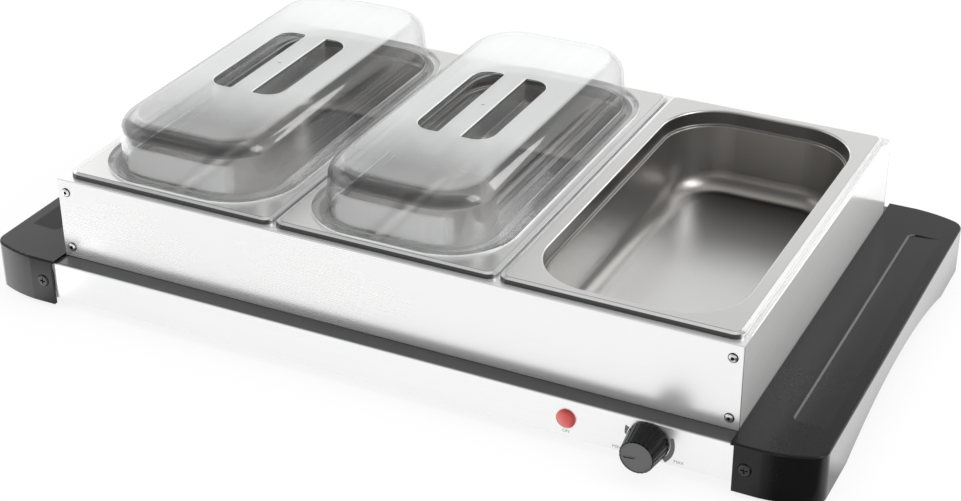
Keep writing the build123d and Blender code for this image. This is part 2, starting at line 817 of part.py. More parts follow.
def finger_well(side, grow, depth):
    """A closed well beside the grip bar, square on the bar's side and round on the other."""
    inner = grip_bar_width / 2 - grow
    outer = grip_bar_width / 2 + well_width + grow
    half = well_length / 2 + grow
    plan = outlined((inner, -half), (outer, -half), (outer, half), (inner, half))
    round_ends = plan.vertices().sort_by(Axis.X)
    plan = fillet(round_ends[2:], well_outer_corner + grow)
    plan = fillet(plan.vertices().sort_by(Axis.X)[:2], well_inner_corner + grow)
    top = rim_top + dome_rise
    pocket = Pos(0, 0, top) * extrude(plan, -depth, taper=well_draft)
    pocket = fillet(level_edges(pocket, top - depth), well_floor_radius)
    pocket += block(plan, top, top + 1)
    return pocket if side > 0 else mirror(pocket, Plane.YZ)


def make_lid():
    top = rim_top + dome_rise
    well_reach = grip_bar_width / 2 + well_width + 1
    flange_plan = RectangleRounded(opening_width + 2 * lid_overlap, opening_length + 2 * lid_overlap,
                                   opening_corner + lid_overlap)
    skirt = opening_edge + lid_skirt_gap
    skirt_plan = RectangleRounded(opening_width - 2 * skirt, opening_length - 2 * skirt, opening_corner - skirt)
    skirt_inside = skirt + lid_sheet
    skirt_hole = RectangleRounded(opening_width - 2 * skirt_inside, opening_length - 2 * skirt_inside,
                                  opening_corner - skirt_inside)
    base_plan = RectangleRounded(dome_base_width, dome_base_length, dome_corner)
    flange_top = rim_top + lid_sheet
    dome = Pos(0, 0, rim_top) * extrude(base_plan, dome_rise, taper=dome_draft)
    dome = fillet(level_edges(dome, top), dome_shoulder)
    flange = block(flange_plan, rim_top, flange_top)
    flange = fillet(level_edges(flange, flange_top), lid_edge)
    outside = dome + flange + block(skirt_plan, rim_top - lid_skirt_depth, rim_top)
    thin_plan = RectangleRounded(dome_base_width - 2 * lid_sheet, dome_base_length - 2 * lid_sheet,
                                 dome_corner - lid_sheet)
    inside = Pos(0, 0, rim_top) * extrude(thin_plan, dome_rise - lid_sheet, taper=dome_draft)
    inside = fillet(level_edges(inside, top - lid_sheet), dome_shoulder - lid_sheet)
    inside += block(skirt_hole, rim_top - lid_skirt_depth - 1, rim_top)
    for side in (-1, 1):
        outside -= finger_well(side, 0, well_depth)
        inside -= finger_well(side, lid_sheet, well_depth + lid_sheet)
    mouths = [edge for edge in level_edges(outside, top) if abs(edge.center().X) < well_reach
              and abs(edge.center().Y) < well_length / 2 + 1]
    outside = fillet(mouths, well_rim)
    outside += post(gate_radius, 0, 0, top - lid_sheet / 2, top + gate_rise)
    return outside - inside


def build():
    os.makedirs("parts", exist_ok=True)
    save(make_hot_plate_shell(), "hot_plate_shell")
    save(make_bottom_cover(), "bottom_cover")
    save(make_bottom_cover_screws(), "bottom_cover_screws")
    save(make_rubber_feet(), "rubber_feet")
    save(make_foot_screws(), "foot_screws")
    right_handle = make_right_handle()
    save(right_handle, "right_handle")
    save(mirror(right_handle, Plane.YZ), "left_handle")
    save(make_handle_screws(), "handle_screws")
    save(make_handle_brackets(), "handle_brackets")
    save(make_heater_foil(), "heater_foil")
    save(make_heater_wire(), "heater_wire")
    save(make_thermal_cutout(), "thermal_cutout")
    save(make_thermostat_body(), "thermostat_body")
    save(make_thermostat_nut(), "thermostat_nut")
    save(make_thermostat_shaft(), "thermostat_shaft")
    save(make_control_knob(), "control_knob")
    save(make_thermostat_sensor(), "thermostat_sensor")
    save(make_indicator_lens(), "indicator_lens")
    save(make_indicator_body(), "indicator_body")
    save(make_cord_gland(), "cord_gland")
    save(make_terminal_block(), "terminal_block")

    front_panel = make_front_panel()
    save(front_panel, "rack_front_panel")
    save(about_rack(front_panel), "rack_rear_panel")
    right_end = make_right_end()
    save(right_end, "rack_right_end")
    save(mirror(right_end, Plane.YZ), "rack_left_end")
    places = pan_places()
    for name, left, right in (("rack_divider_left", 0, 1), ("rack_divider_right", 1, 2)):
        save(make_divider((places[left] + places[right]) / 2), name)
    save(make_rack_rivets(), "rack_rivets")

    pan = make_pan()
    for name, x in zip(("pan_left", "pan_middle", "pan_right"), places):
        save(Pos(x, base_y, 0) * pan, name)
    lid = make_lid()
    for name, x in zip(("lid_left", "lid_middle"), places):
        save(Pos(x, base_y, 0) * lid, name)


build()
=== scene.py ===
import math

import bmesh
import bpy
from mathutils import Matrix, Vector


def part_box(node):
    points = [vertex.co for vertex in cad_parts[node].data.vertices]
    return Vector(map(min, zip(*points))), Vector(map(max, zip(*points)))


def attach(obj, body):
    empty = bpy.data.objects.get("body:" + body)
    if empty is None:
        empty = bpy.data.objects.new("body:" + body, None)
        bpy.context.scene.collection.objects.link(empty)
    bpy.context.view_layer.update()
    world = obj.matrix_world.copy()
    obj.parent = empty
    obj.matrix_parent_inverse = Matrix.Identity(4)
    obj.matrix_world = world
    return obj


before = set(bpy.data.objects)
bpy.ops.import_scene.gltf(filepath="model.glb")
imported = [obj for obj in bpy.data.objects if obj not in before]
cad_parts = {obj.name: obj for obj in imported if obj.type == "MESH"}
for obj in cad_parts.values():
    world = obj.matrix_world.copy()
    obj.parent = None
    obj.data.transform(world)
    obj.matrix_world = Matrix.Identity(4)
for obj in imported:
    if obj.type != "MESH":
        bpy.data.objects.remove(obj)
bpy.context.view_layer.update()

mm = 0.001


# Shader sums: an output socket that takes Python's operators

class Value:
    def __init__(self, graph, socket):
        self.graph = graph
        self.socket = socket

    def combine(self, operation, first, second, clamp=False):
        return self.graph.node("ShaderNodeMath", {"operation": operation, "use_clamp": clamp},
                               {0: first, 1: second})

    def __add__(self, other):
        return self.combine("ADD", self, other)

    __radd__ = __add__

    def __sub__(self, other):
        return self.combine("SUBTRACT", self, other)

    def __rsub__(self, other):
        return self.combine("SUBTRACT", other, self)

    def __mul__(self, other):
        return self.combine("MULTIPLY", self, other)

    __rmul__ = __mul__

    def __truediv__(self, other):
        return self.combine("DIVIDE", self, other)

    def __rtruediv__(self, other):
        return self.combine("DIVIDE", other, self)

    def __pow__(self, other):
        return self.combine("POWER", self, other)

    def __rpow__(self, other):
        return self.combine("POWER", other, self)

    def __neg__(self):
        return self.combine("MULTIPLY", self, -1.0)

    def __abs__(self):
        return self.combine("ABSOLUTE", self, 0.0)

    def clamped(self):
        return self.combine("ADD", self, 0.0, clamp=True)

    def larger(self, other):
        return self.combine("MAXIMUM", self, other)

    def smaller(self, other):
        return self.combine("MINIMUM", self, other)

    def above(self, level, softness):  # 0 under the level, 1 over it, with a soft step between
        return ((self - level) / softness + 0.5).clamped()

    def below(self, level, softness):
        return ((level - self) / softness + 0.5).clamped()

    def within(self, low, high, softness):
        return self.above(low, softness) * self.below(high, softness)


class Graph:  # a node tree and the few ways to add to it
    def __init__(self, tree):
        self.tree = tree
        tree.nodes.clear()

    def feed(self, socket, value):
        if isinstance(value, Value):
            self.tree.links.new(value.socket, socket)
        elif socket.type == "RGBA":
            socket.default_value = (*value, 1.0)[:4]
        else:
            socket.default_value = value

    def node(self, kind, settings=None, inputs=None, output=0):
        made = self.tree.nodes.new(kind)
        for key, value in (settings or {}).items():
            if key == "stops":
                fillRamp(made.color_ramp, value)
            else:
                setattr(made, key, value)
        for key, value in (inputs or {}).items():
            self.feed(made.inputs[key], value)
        return Value(self, made.outputs[output] if made.outputs else None)

    def split(self, vector):
        xyz = self.node("ShaderNodeSeparateXYZ", None, {0: vector})
        return [Value(self, socket) for socket in xyz.socket.node.outputs]

    def blend(self, factor, first, second):
        return self.node("ShaderNodeMix", {"data_type": "RGBA"}, {0: factor, 6: first, 7: second}, output=2)

    def seen(self):  # 1 for rays from the camera, glossy and transmitted ones
        rays = [self.node("ShaderNodeLightPath", output=name + " Ray")
                for name in ("Is Camera", "Is Glossy", "Is Transmission")]
        return rays[0].larger(rays[1]).larger(rays[2])


class Finish(Graph):  # one node material around a Principled shader
    def __init__(self, name, **constants):
        self.material = bpy.data.materials.new(name)
        self.material.use_nodes = True
        super().__init__(self.material.node_tree)
        self.shader = self.tree.nodes.new("ShaderNodeBsdfPrincipled")
        self.end = self.tree.nodes.new("ShaderNodeOutputMaterial")
        self.tree.links.new(self.shader.outputs[0], self.end.inputs["Surface"])
        self.set(**constants)

    def set(self, **values):  # baseColor=... goes to the socket Base Color
        for key, value in values.items():
            words = "".join(" " + letter if letter.isupper() else letter for letter in key)
            name = words[0].upper() + words[1:]
            name = {"Ior": "IOR", "Specular Level": "Specular IOR Level"}.get(name, name)
            self.feed(self.shader.inputs[name], value)
        return self

    def place(self):  # where the point is in the object's own frame, in metres
        return self.node("ShaderNodeTexCoord", output="Object")

    def facing(self):  # the surface's own normal, which turns with the piece
        return self.node("ShaderNodeTexCoord", output="Normal")

    def stretch(self, vector, factors):
        return self.node("ShaderNodeVectorMath", {"operation": "MULTIPLY"}, {0: vector, 1: factors})

    def noise(self, vector, scale, detail=3.0, roughness=0.5):
        return self.node("ShaderNodeTexNoise", None,
                         {"Vector": vector, "Scale": scale, "Detail": detail, "Roughness": roughness})

    def shade(self, colour, amount):  # the colour made lighter or darker by a value about 1
        grey = self.node("ShaderNodeCombineXYZ", None, {0: amount, 1: amount, 2: amount})
        return self.node("ShaderNodeVectorMath", {"operation": "MULTIPLY"}, {0: colour, 1: grey})

    def bump(self, height, strength, distance):
        return self.node("ShaderNodeBump", None,
                         {"Height": height, "Strength": strength, "Distance": distance})

    def coverWith(self, kind, inputs, factor):  # lay another shader over this one
        over = self.node(kind, None, inputs)
        under = Value(self, self.end.inputs["Surface"].links[0].from_socket)
        mixed = self.node("ShaderNodeMixShader", None, {0: factor, 1: under, 2: over})
        self.feed(self.end.inputs["Surface"], mixed)


def fillRamp(ramp, stops):
    while len(ramp.elements) < len(stops):
        ramp.elements.new(1.0)
    for element, (place, colour) in zip(ramp.elements, stops):
        element.position = place
        element.color = (*colour, 1.0)[:4]


# Sheet steel. A zone is where a finish or its painted highlight and shade change: a level with the softness
# of its step, or two levels with a softness

sheetForm = {"streakDetail": 3.0, "streakBite": 0.55, "softDetail": 2.0, "bumpDepth": 0.1 * mm}


def sheetSteel(name, look):
    steel = Finish(name, metallic=look["metallic"])
    place = steel.place()
    streaks = steel.noise(steel.stretch(place, look["grain"]), 1.0, sheetForm["streakDetail"],
                          sheetForm["streakBite"])
    clouds = steel.noise(place, look["cloudScale"], sheetForm["softDetail"])
    specks = steel.noise(place, look["speckScale"], sheetForm["softDetail"])
    tone = 1 + (streaks - 0.5) * look["streakTone"] + (clouds - 0.5) * look["cloudTone"]
    steel.set(baseColor=steel.shade(look["colour"], tone))
    steel.set(roughness=(look["roughness"] + (clouds - 0.5) * look["roughCloud"]
                         + (streaks - 0.5) * look["roughStreak"]).clamped())
    steel.set(normal=steel.bump(streaks + specks * look["speckBump"], look["bump"], sheetForm["bumpDepth"]))
    return steel, place, tone


rackLook = {
    "colour": (0.93, 0.93, 0.93), "metallic": 0.7, "roughness": 0.28, "grain": (12.0, 700.0, 700.0),
    "cloudScale": 6.0, "cloudTone": 0.03, "streakTone": 0.03, "roughCloud": 0.06, "roughStreak": 0.05,
    "speckScale": 700.0, "speckBump": 0.3, "bump": 0.02,
}
# The end panels are a lighter copy of the rack steel (painted light), painted darker towards their front edge
# (painted shade)
rackEndLook = dict(rackLook, colour=(0.98, 0.98, 0.975), metallic=0.34, roughness=0.16, streakTone=0.10,
                   grain=(700.0, 12.0, 700.0), frontShade=0.74, joint=0.7 * mm, jointSoft=0.2 * mm,
                   jointShadowColour=(0.03, 0.03, 0.03))


def makeRackSteel():
    return sheetSteel("satinRackSteel", rackLook)[0]


def makeRackEndSteel():
    look = rackEndLook
    steel, place, tone = sheetSteel("satinRackEndSteel", look)
    low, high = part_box("rack_right_end")
    halfY = (high.y - low.y) / 2
    y = steel.split(place)[1]
    fromFront = ((y - low.y) / (halfY * 2)).clamped()
    # painted shade: the panel darkens towards its front edge
    tone = tone * (look["frontShade"] + fromFront * (1 - look["frontShade"]))
    # painted shadow line in the joints along the front and rear edges
    joint = abs(y - (low.y + halfY)).above(halfY - look["joint"], look["jointSoft"])
    steel.set(baseColor=steel.blend(joint, steel.shade(look["colour"], tone), look["jointShadowColour"]))
    return steel


plateLook = {
    "colour": (0.94, 0.94, 0.94), "topShadeColour": (0.165, 0.165, 0.165), "topFacing": (0.75, 0.3),
    "metallic": 0.85, "roughness": 0.3, "grain": (10.0, 800.0, 800.0),
    "cloudScale": 8.0, "cloudTone": 0.03, "streakTone": 0.05, "roughCloud": 0.05, "roughStreak": 0.06,
    "speckScale": 800.0, "speckBump": 0.4, "bump": 0.02,
}


def makePlateSteel():
    steel, place, tone = sheetSteel("hotPlateSteel", plateLook)
    # painted reflection: the upward faces of the same steel are coloured dark for a dark reflection
    top = steel.split(steel.facing())[2].above(*plateLook["topFacing"])
    steel.set(baseColor=steel.blend(top, steel.shade(plateLook["colour"], tone),
                                    steel.shade(plateLook["topShadeColour"], tone)))
    return steel


panLook = {
    "colour": (0.78, 0.775, 0.77), "borderHighlightColour": (0.95, 0.95, 0.95), "creaseShadeColour": (0.16, 0.16, 0.16),
    "edgeShadeColour": (0.10, 0.10, 0.10), "wallShadeColour": (0.40, 0.38, 0.36), "litSideColour": (0.46, 0.45, 0.44),
    "ledgeShadeColour": (0.30, 0.29, 0.28), "floorLightColour": (0.97, 0.97, 0.965),
    "metallic": 0.92, "roughness": 0.28, "bowlRoughness": 0.33, "grain": (500.0, 500.0, 60.0),
    "cloudScale": 12.0, "cloudTone": 0.04, "streakTone": 0.03, "roughCloud": 0.05, "roughStreak": 0.03,
    "speckScale": 700.0, "speckBump": 0.3, "bump": 0.012,
    "lineShade": 0.35, "collarShade": 0.5, "floorFade": 0.95, "floorFall": 1.5,
}
panZones = {  # insets run in from the rim's outline, depths down from its top, alongs back from its middle
    "corner": 8.0 * mm, "borderInset": (3.6 * mm, 0.3 * mm), "creaseInset": (3.25 * mm, 3.85 * mm, 0.25 * mm),
    "edgeInset": (0.8 * mm, 0.4 * mm), "bowlInset": (9.0 * mm, 0.6 * mm), "frontSoft": 2.0 * mm,
    "rimDepth": (4.0 * mm, 0.4 * mm), "bowlDepth": (1.0 * mm, 1.0 * mm), "collarDepth": (12.0 * mm, 1.5 * mm),
    "ledgeDepth": (9.0 * mm, 16.0 * mm, 1.0 * mm), "sideDepth": (18.0 * mm, 14.0 * mm),
    "floorDepth": (57.0 * mm, 8.0 * mm), "floorAlong": (0.0, 135.0 * mm),
    "ledgeFacing": (0.5, 0.4), "sideFacing": (0.45, 0.6), "floorFacing": (0.93, 0.08),
}


def makePanSteel():
    look, zone = panLook, panZones
    steel, place, tone = sheetSteel("drawnPanSteel", look)
    x, y, z = steel.split(place)
    turnX, turnY, turnZ = steel.split(steel.facing())
    boxes = [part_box(name) for name in ("pan_left", "pan_middle", "pan_right")]
    low, high = boxes[0]
    halfX, halfY = (high.x - low.x) / 2, (high.y - low.y) / 2
    across = 1.0
    for lowEnd, highEnd in boxes:  # from the middle of the nearest pan
        across = abs(x - (lowEnd.x + highEnd.x) / 2).smaller(across)
    along = y - (low.y + high.y) / 2
    cornerX = across - halfX + zone["corner"]
    cornerY = abs(along) - halfY + zone["corner"]
    outside = (cornerX.larger(0.0) ** 2 + cornerY.larger(0.0) ** 2) ** 0.5
    inset = zone["corner"] - outside - cornerX.larger(cornerY).smaller(0.0)
    depth = high.z - z

    rim = depth.below(*zone["rimDepth"])
    bowl = inset.above(*zone["bowlInset"]) * depth.above(*zone["bowlDepth"])
    collar = depth.below(*zone["collarDepth"])
    ledge = turnZ.above(*zone["ledgeFacing"]) * depth.within(*zone["ledgeDepth"])
    side = turnX.above(*zone["sideFacing"]) * depth.above(*zone["sideDepth"])
    floor = turnZ.above(*zone["floorFacing"]) * depth.above(*zone["floorDepth"])
    # painted shade on the crease and outer edge is full on the front side and lineShade of that elsewhere
    atFront = along.below(zone["borderInset"][0] - halfY, zone["frontSoft"])
    lines = look["lineShade"] + atFront * (1 - look["lineShade"])
    shadeStart, shadeEnd = zone["floorAlong"]
    toBack = ((along - shadeStart) / (shadeEnd - shadeStart)).clamped() ** look["floorFall"]

    # painted highlight on the sloping border of the rim, painted shade in its crease and on its outer edge
    colour = steel.blend(rim * inset.below(*zone["borderInset"]), steel.shade(look["colour"], tone),
                         steel.shade(look["borderHighlightColour"], tone))
    colour = steel.blend(rim * inset.within(*zone["creaseInset"]) * lines, colour, look["creaseShadeColour"])
    colour = steel.blend(inset.below(*zone["edgeInset"]) * lines, colour, look["edgeShadeColour"])
    # painted shade in the bowl: darker walls, lighter on those facing +X, darker still at the collar and the
    # ledge
    wall = steel.blend(side, look["wallShadeColour"], look["litSideColour"])
    colour = steel.blend(bowl, colour, steel.shade(wall, tone * (1 - collar * look["collarShade"])))
    colour = steel.blend(bowl * ledge, colour, steel.shade(look["ledgeShadeColour"], tone))
    # painted light on the floor, fading to painted shade towards the back
    floorTone = tone * (1 - toBack * look["floorFade"])
    colour = steel.blend(floor, colour, steel.shade(look["floorLightColour"], floorTone))
    steel.set(baseColor=colour)
    steel.set(roughness=look["roughness"] + bowl * (look["bowlRoughness"] - look["roughness"]))
    return steel


coverLook = {
    "colour": (0.55, 0.56, 0.57), "metallic": 1.0, "roughness": 0.42, "grain": (60.0, 60.0, 60.0),
    "cloudScale": 45.0, "cloudTone": 0.25, "streakTone": 0.12, "roughCloud": 0.2, "roughStreak": 0.1,
    "speckScale": 900.0, "speckBump": 0.5, "bump": 0.08,
}


def makeCoverSteel():
    return sheetSteel("galvanisedCover", coverLook)[0]


# Mouldings

mouldForm = {"poreDetail": 3.0, "cloudDetail": 2.0, "coatCloud": 0.2, "bumpDepth": 0.2 * mm}


def moulding(name, look):
    plastic = Finish(name, specularLevel=look["specular"], ior=look["ior"],
                     coatRoughness=look["coatRoughness"])
    place = plastic.place()
    pores = plastic.noise(place, look["poreScale"], mouldForm["poreDetail"])
    clouds = plastic.noise(place, look["cloudScale"], mouldForm["cloudDetail"])
    plastic.set(baseColor=plastic.shade(look["colour"], 1 + (clouds - 0.5) * look["cloudTone"]))
    plastic.set(roughness=(look["roughness"] + (clouds - 0.5) * look["roughCloud"]
                           + (pores - 0.5) * look["roughPore"]).clamped())
    if look["coat"]:
        cloudCoat = (clouds - 0.5) * look["coat"] * mouldForm["coatCloud"]
        plastic.set(coatWeight=(look["coat"] + cloudCoat).clamped())
    plastic.set(normal=plastic.bump(pores, look["bump"], mouldForm["bumpDepth"]))
    return plastic, place


handleLook = {
    "colour": (0.008, 0.008, 0.0085), "lineHighlightColour": (0.09, 0.09, 0.09), "roughness": 0.26, "ior": 1.5,
    "specular": 0.27, "coat": 0.03, "coatRoughness": 0.12, "poreScale": 900.0, "cloudScale": 9.0,
    "cloudTone": 0.3, "roughCloud": 0.06, "roughPore": 0.04, "bump": 0.02,
    "lineFromSide": 32.4 * mm, "lineFromEnd": 30.0 * mm, "lineWidth": (3.0 * mm, 1.0 * mm),
    "lineDepth": 2.0 * mm, "depthSoft": 0.3 * mm, "endSoft": 2.0 * mm, "lineFacing": (0.5, 0.93, 0.1),
}


def makeHandlePlastic():
    look = handleLook
    plastic, place = moulding("blackHandlePlastic", look)
    x, y, z = plastic.split(place)
    low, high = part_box("right_handle")
    halfY = (high.y - low.y) / 2
    slope = plastic.split(plastic.facing())[2].within(*look["lineFacing"])
    beside = abs(abs(x) - (high.x - look["lineFromSide"])).below(*look["lineWidth"])
    between = abs(y - (low.y + halfY)).below(halfY - look["lineFromEnd"], look["endSoft"])
    onTop = z.above(high.z - look["lineDepth"], look["depthSoft"])
    line = slope * beside * between * onTop  # painted highlight along the edge of the dished top
    plastic.set(baseColor=plastic.blend(line, look["colour"], look["lineHighlightColour"]))
    return plastic


knobLook = {
    "colour": (0.0025, 0.0025, 0.003), "faceColour": (0.125, 0.125, 0.127), "roughness": 0.18,
    "faceRoughness": 0.5, "faceDepth": 1.5 * mm, "faceSoft": 0.3 * mm, "frontFacing": (-0.9, 0.1),
    "ior": 1.5, "specular": 0.35, "coat": 0.05, "coatRoughness": 0.08, "poreScale": 1500.0,
    "cloudScale": 60.0, "cloudTone": 0.2, "roughCloud": 0.06, "roughPore": 0.06, "bump": 0.04,
}


def makeKnobPlastic():
    look = knobLook
    plastic, place = moulding("blackKnobPlastic", look)
    low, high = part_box("control_knob")
    front = plastic.split(plastic.facing())[1].below(*look["frontFacing"])
    onFace = front * plastic.split(place)[1].below(low.y + look["faceDepth"], look["faceSoft"])
    plastic.set(baseColor=plastic.blend(onFace, look["colour"], look["faceColour"]))
    plastic.set(roughness=look["roughness"] + onFace * (look["faceRoughness"] - look["roughness"]))
    plastic.set(coatWeight=look["coat"] * (1 - onFace))
    return plastic


controlLook = {
    "colour": (0.06, 0.055, 0.05), "roughness": 0.45, "ior": 1.5, "specular": 0.5,
    "coat": 0.0, "coatRoughness": 0.2, "poreScale": 900.0, "cloudScale": 40.0, "cloudTone": 0.25,
    "roughCloud": 0.1, "roughPore": 0.1, "bump": 0.1,
}
nylonLook = dict(controlLook, colour=(0.72, 0.70, 0.62), roughness=0.38)
rubberLook = dict(controlLook, colour=(0.022, 0.022, 0.022), roughness=0.7, bump=0.2)
leadLook = dict(controlLook, colour=(0.60, 0.56, 0.48), roughness=0.55)


# Clear lids: a thin veil with painted light on it: painted reflection on the crown and flange, painted glow
# on the edges, wells and front wall, painted shade at bends and where the pan shows through, and a mirror
# that grows at a glance

lidLook = {
    "colour": (0.96, 0.97, 0.975), "lidShadeColour": (0.05, 0.05, 0.05), "roughness": 0.3, "ior": 1.49,
    "hazeScale": 9.0, "haze": 0.04, "streakGrain": (60.0, 3.0, 3.0), "streakDetail": 2.0, "wallVeil": 0.022,
    "crownReflectionVeil": 0.50, "crownStreak": 0.16, "crownFade": 0.7, "flangeReflectionVeil": 0.05, "edgeVeil": 0.9,
    "boxVeil": 0.2, "glowVeil": 0.24, "smoke": 0.17, "bendShade": 0.55,
    "mirror": 0.05, "grazing": 0.75, "grazingPower": 4.0, "mirrorRoughness": 0.03,
}
lidSizes = {
    "gateRise": 0.4 * mm, "flange": 2.0 * mm, "sheet": 2.0 * mm, "barHalf": 9.2 * mm,
    "wellWidth": 22.0 * mm, "wellHalf": 56.0 * mm, "wellDepth": 18.0 * mm,
}
lidZones = {  # drops run down from the crown's top, rises up from the flange's
    "crownFacing": (0.97, 0.05), "crownDrop": (1.0 * mm, 1.0 * mm), "crownAlong": (40.0 * mm, 115.0 * mm),
    "flangeFacing": (0.8, 0.2), "flangeRise": (0.3 * mm, 0.2 * mm),
    "edgeFacing": (0.75, 0.2), "edgeMargin": 0.05 * mm, "edgeSoft": 0.1 * mm,
    "mouthFacing": (0.05, 0.985, 0.012), "mouthDrop": (1.0 * mm, 0.3 * mm), "mouthMargin": 1.5 * mm,
    "shadeFacing": (0.2, 0.2), "shadeDrop": (1.1 * mm, 2.6 * mm, 0.3 * mm),
    "bendFront": (-0.35, 0.15), "bendFacing": (0.22, 0.93, 0.12), "bendDrop": (13.0 * mm, 4.0 * mm),
    "glowFront": (-0.85, 0.15), "glowRise": (3.0 * mm, 1.5 * mm), "glowDrop": (16.0 * mm, 1.5 * mm),
    "glowAcross": 48.0 * mm, "glowAhead": 20.0 * mm, "boxTop": 2.4 * mm, "boxSoft": 0.4 * mm,
    "boxFront": (-0.3, 0.2), "boxEnd": 12.0 * mm, "boxSide": (0.5, 0.3), "boxMargin": 3.0 * mm,
    "wellMargin": 1.0 * mm, "wellSoft": 0.2 * mm, "throughShadeAlong": (60.0 * mm, 90.0 * mm),
}


def makeLidClear():
    look, size, zone = lidLook, lidSizes, lidZones
    clear = Finish("clearLidPlastic", ior=look["ior"], roughness=look["roughness"])
    place = clear.place()
    x, y, z = clear.split(place)
    turnX, turnY, turnZ = clear.split(clear.facing())
    (lowA, highA), (lowB, highB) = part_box("lid_left"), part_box("lid_middle")
    centreA, centreB = (lowA.x + highA.x) / 2, (lowB.x + highB.x) / 2
    onSecond = x.above((centreA + centreB) / 2, mm)
    across = x - (centreA + onSecond * (centreB - centreA))
    along = y - (lowA.y + highA.y) / 2
    drop = highA.z - size["gateRise"] - z
    rise = z - (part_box("pan_left")[1].z + size["flange"])
    haze = clear.noise(place, look["hazeScale"])
    streaks = clear.noise(clear.stretch(place, look["streakGrain"]), 1.0, look["streakDetail"])

    # painted reflection: a white veil on the crown, fading towards the back and streaked, and on the flange
    # top
    fadeStart, fadeEnd = zone["crownAlong"]
    fade = ((-along - fadeStart) / (fadeEnd - fadeStart)).clamped()
    crownTone = 1 - fade * look["crownFade"] + (streaks - 0.5) * look["crownStreak"]
    crown = turnZ.above(*zone["crownFacing"]) * drop.below(*zone["crownDrop"]) * crownTone
    flange = abs(turnZ).above(*zone["flangeFacing"]) * rise.below(*zone["flangeRise"])
    # painted glow along the flange's outer edge
    edgeBand = rise.within(zone["edgeMargin"] - size["flange"], -zone["edgeMargin"], zone["edgeSoft"])
    outerEdgeGlow = abs(turnZ).below(*zone["edgeFacing"]) * edgeBand

    wellSide = size["barHalf"] + size["wellWidth"]
    nearWells = abs(across).below(wellSide + zone["mouthMargin"], mm)
    overWells = nearWells * abs(along).below(size["wellHalf"] + zone["mouthMargin"], mm)
    # painted glow on the well mouths
    mouthEdgeGlow = overWells * turnZ.within(*zone["mouthFacing"]) * drop.below(*zone["mouthDrop"])
    # painted shade just below the well mouths
    mouthShade = overWells * abs(turnZ).below(*zone["shadeFacing"]) * drop.within(*zone["shadeDrop"])
    insideWell = abs(across).within(size["barHalf"] - zone["wellMargin"], wellSide + zone["wellMargin"],
                                    zone["wellSoft"])
    # painted glow on the front and side walls of the wells
    boxFront = turnY.below(*zone["boxFront"]) * along.below(zone["boxEnd"] - size["wellHalf"], mm)
    boxSide = turnX.above(*zone["boxSide"]) * (1 - insideWell)
    box = (nearWells * boxFront.larger(boxSide)
           * drop.within(zone["boxTop"], size["wellDepth"] + size["sheet"], zone["boxSoft"])
           * abs(along).below(size["wellHalf"] + zone["boxMargin"], mm))

    # painted shade in the bends of the front shoulder
    bend = (turnY.below(*zone["bendFront"]) * turnZ.within(*zone["bendFacing"])
            * drop.below(*zone["bendDrop"]))
    # painted reflection: a bright patch on the front wall
    glow = (turnY.below(*zone["glowFront"]) * rise.above(*zone["glowRise"]) * drop.above(*zone["glowDrop"])
            * across.below(zone["glowAcross"], mm)
            * along.below(-size["wellHalf"] - zone["glowAhead"], mm))

    veil = (look["wallVeil"] + (haze - 0.5) * look["haze"] + crown * look["crownReflectionVeil"]
            + flange * look["flangeReflectionVeil"] + (outerEdgeGlow + mouthEdgeGlow) * look["edgeVeil"]
            + box * look["boxVeil"] + glow * look["glowVeil"])
    # painted shade, stronger towards the front, for the dark pan seen through the lid
    smoke = along.below(*zone["throughShadeAlong"]) * look["smoke"]
    dark = bend.larger(mouthShade)
    darkShare = dark.larger(smoke / (veil.larger(0.001) + smoke))
    clear.set(baseColor=clear.blend(darkShare, clear.shade(look["colour"], 1 - haze * look["haze"]),
                                    look["lidShadeColour"]))
    clear.set(alpha=(veil + smoke).larger(dark * look["bendShade"]).clamped())
    glance = clear.node("ShaderNodeLayerWeight", None, {"Blend": 0.5}, output="Facing")
    mirror = look["mirror"] + glance ** look["grazingPower"] * look["grazing"]
    clear.coverWith("ShaderNodeBsdfGlossy", {"Roughness": look["mirrorRoughness"]}, mirror.clamped())
    return clear


lensLook = {
    "colour": (0.62, 0.05, 0.045), "highlightColour": (0.80, 0.17, 0.155), "rimShadeColour": (0.36, 0.012, 0.012),
    "ior": 1.5, "roughness": 0.2, "roughFacet": 0.1, "coat": 0.35, "coatFacet": 0.2, "coatRoughness": 0.05,
    "facetScale": 1300.0, "facetTone": 0.3, "bump": 0.15, "bumpDepth": 0.3 * mm, "slant": (0.8, 0.6),
    "rimRadius": (5.2 * mm, 2.2 * mm), "rimSlant": (1.0 * mm, 5.0 * mm), "highlightSlant": (-0.6 * mm, 7.0 * mm),
}


def makeLensRed():
    look = lensLook
    red = Finish("redLampLens", ior=look["ior"], coatRoughness=look["coatRoughness"])
    place = red.place()
    low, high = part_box("indicator_lens")
    centre = (low + high) / 2
    x, y, z = red.split(place)
    across, up = x - centre.x, z - centre.z
    radius = (across ** 2 + up ** 2) ** 0.5
    slant = across * look["slant"][0] + up * look["slant"][1]
    # painted shade on the rim towards the upper right and a painted highlight towards the lower left
    rim = radius.above(*look["rimRadius"]) * slant.above(*look["rimSlant"])
    facets = red.noise(place, look["facetScale"], 1.0)
    body = red.blend(slant.below(*look["highlightSlant"]), look["colour"], look["highlightColour"])
    tone = 1 + (facets - 0.5) * look["facetTone"]
    red.set(baseColor=red.shade(red.blend(rim, body, look["rimShadeColour"]), tone))
    red.set(roughness=look["roughness"] + facets * look["roughFacet"])
    red.set(coatWeight=look["coat"] + facets * look["coatFacet"])
    red.set(normal=red.bump(facets, look["bump"], look["bumpDepth"]))
    return red


# Small metal pieces

